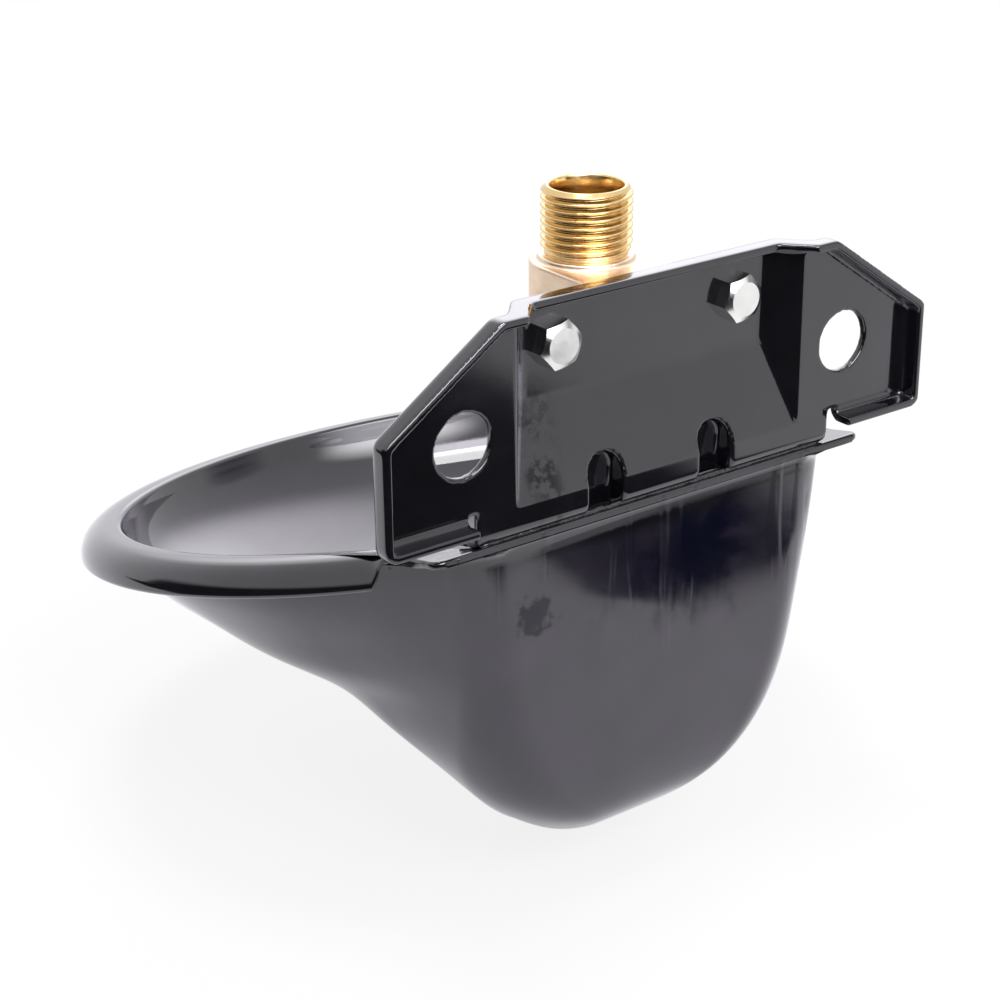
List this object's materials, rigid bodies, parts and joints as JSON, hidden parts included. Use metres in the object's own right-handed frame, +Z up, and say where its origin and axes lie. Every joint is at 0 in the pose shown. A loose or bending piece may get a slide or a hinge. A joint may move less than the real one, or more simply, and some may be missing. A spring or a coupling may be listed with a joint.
{
  "type": "livestock drinking bowl",
  "caption": "Wall-mounted enamelled livestock drinking bowl with a folded bracket and a brass valve opened by pushing its drinking tube.",
  "frame": {"origin": "midway between the two wall holes, on the rear faces of the bracket's wings", "axes": "+X to the right seen from the front, along the line of the wall holes; +Y towards the wall; +Z up, along the inlet"},
  "size_m": [0.1928, 0.1732, 0.1643],
  "materials": {
    "enamel_bowl": "glossy vitreous enamel",
    "enamel_bracket": "glossy vitreous enamel",
    "enamel_weld": "enamelled weld bead, uneven",
    "cast_brass": "cast and machined brass, satin",
    "zinc_bolt": "bright zinc plate",
    "turned_brass": "turned brass",
    "strainer_steel": "stainless sheet",
    "ring_steel": "spring steel",
    "black_rubber": "matt rubber",
    "tube_steel": "polished stainless tube",
    "white_plastic": "white acetal",
    "fibre_gasket": "red fibre gasket"
  },
  "bodies": {
    "frame": {"bowl": "enamel_bowl", "bracket": "enamel_bracket", "bracket_welds": "enamel_weld", "valve_body": "cast_brass", "valve_bolts": "zinc_bolt", "spring_plate": "turned_brass", "inlet_strainer": "strainer_steel", "strainer_ring": "ring_steel", "seat_bush": "turned_brass", "seat_o_ring": "black_rubber", "return_spring": "ring_steel", "slide_washer": "white_plastic", "retaining_nut": "turned_brass", "nut_gasket": "fibre_gasket"},
    "plunger": {"valve_plunger": "turned_brass", "plunger_seal": "black_rubber", "seal_nut": "turned_brass"},
    "tube": {"drinking_tube": "tube_steel", "tube_head": "turned_brass", "lift_disc": "strainer_steel"}
  },
  "joints": [
    {"name": "water_tube_tilt", "type": "hinge", "parent": "frame", "child": "tube", "pos_m": [0, -0.0381, -0.012], "axis": [1, 0, 0], "range_deg": [0, 6]},
    {"name": "plunger_lift", "type": "slide", "parent": "frame", "child": "plunger", "axis": [0, 0, 1], "range_m": [0, 0.0012], "stiffness_N_per_m": 300, "springref_m": -0.003, "deforming": ["return_spring"]}
  ],
  "couplings": [
    {"joint": "plunger_lift", "follows": "water_tube_tilt", "m_per_rad": 0.0102}
  ]
}
